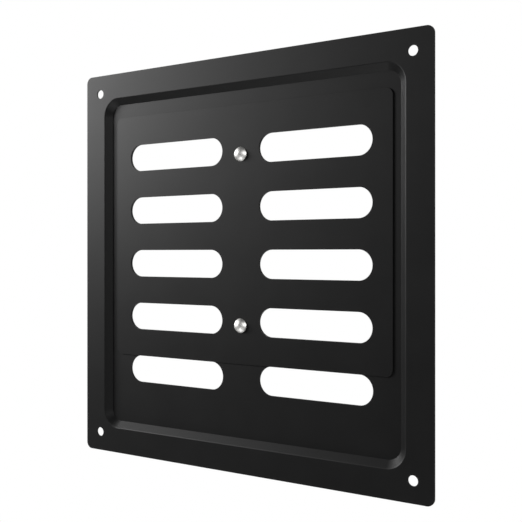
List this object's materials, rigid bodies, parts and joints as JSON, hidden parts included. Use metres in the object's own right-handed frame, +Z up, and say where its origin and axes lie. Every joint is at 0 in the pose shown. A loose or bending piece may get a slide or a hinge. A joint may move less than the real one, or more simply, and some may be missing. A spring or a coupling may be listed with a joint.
{
  "type": "ventilation grille",
  "caption": "Square pressed-steel wall ventilation grille: a screw flange round a shallow recess with round-ended air slots, and a sliding shutter pushed by domed rivets to open or shut them.",
  "frame": {"origin": "middle of the screw pattern, on the flange's back face, which lies against the wall", "axes": "+X to the right seen from the room, +Y into the wall, +Z up"},
  "size_m": [0.2, 0.0053, 0.2],
  "materials": {
    "black_paint": "satin black paint",
    "bright_plate": "bright nickel plate",
    "zinc_plate": "dull zinc plate"
  },
  "bodies": {
    "frame": {"base_plate": "black_paint"},
    "shutter": {"slide_plate": "black_paint", "upper_rivet": "bright_plate", "lower_rivet": "bright_plate", "upper_washer": "zinc_plate", "lower_washer": "zinc_plate"}
  },
  "joints": [
    {"name": "shutter_slide", "type": "slide", "parent": "frame", "child": "shutter", "axis": [0, 0, -1], "range_m": [0, 0.01372]}
  ]
}
